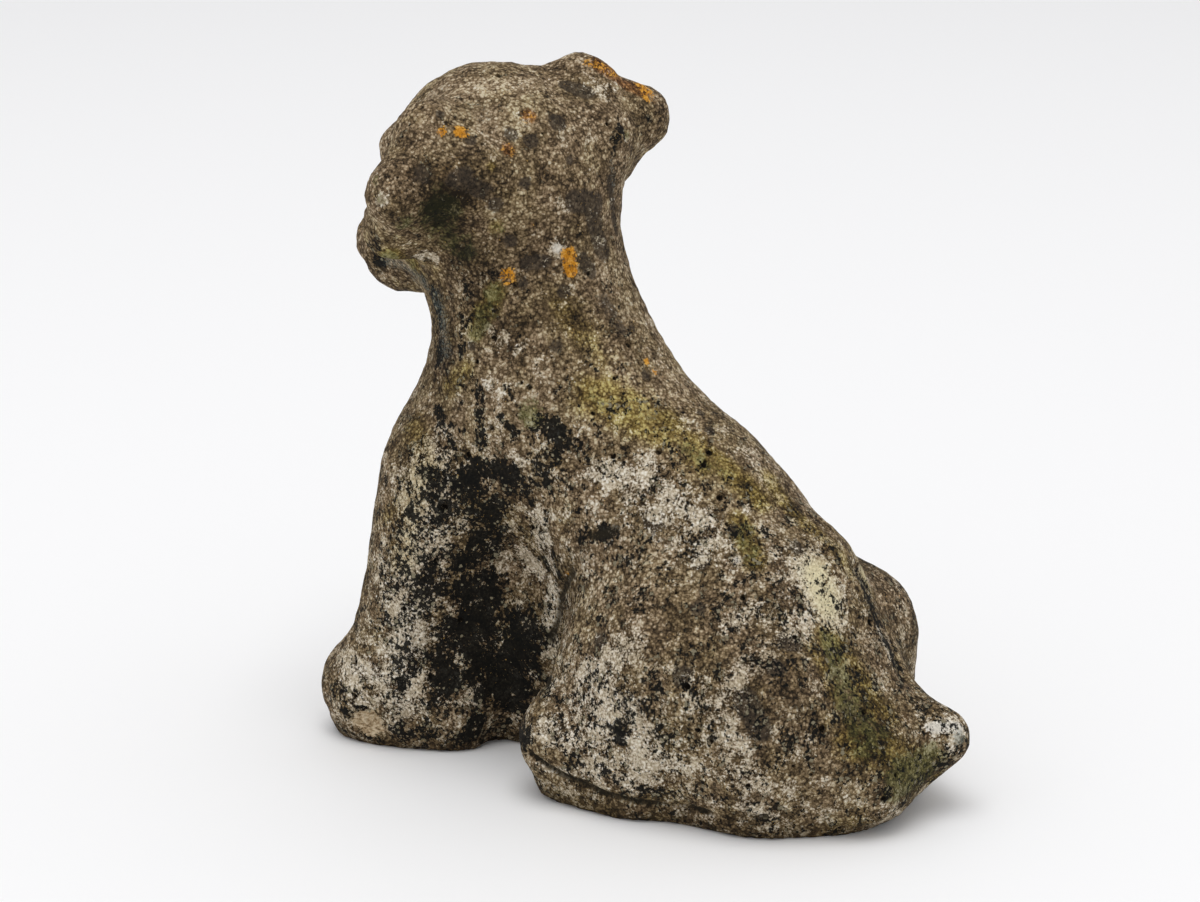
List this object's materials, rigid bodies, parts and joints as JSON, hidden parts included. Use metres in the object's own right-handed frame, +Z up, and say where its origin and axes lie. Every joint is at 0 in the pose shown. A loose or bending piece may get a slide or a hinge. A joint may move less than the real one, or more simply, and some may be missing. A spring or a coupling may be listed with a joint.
{
  "type": "stone dog garden ornament",
  "caption": "Seated puppy cast in stone, looking over its right shoulder, with folded ears and a stub tail; a weathered garden ornament that stands on its flat underside.",
  "frame": {"origin": "on the ground under the middle of the puppy, in the plane of the flat underside", "axes": "+Z up, the puppy's body faces -Y, its left side is +X"},
  "size_m": [0.1553, 0.2885, 0.2922],
  "materials": {
    "stone": "dry weathered cast stone with exposed sand, black and olive algae film, pale and orange lichen"
  },
  "bodies": {
    "root": {"dog_figure": "stone"}
  },
  "joints": []
}
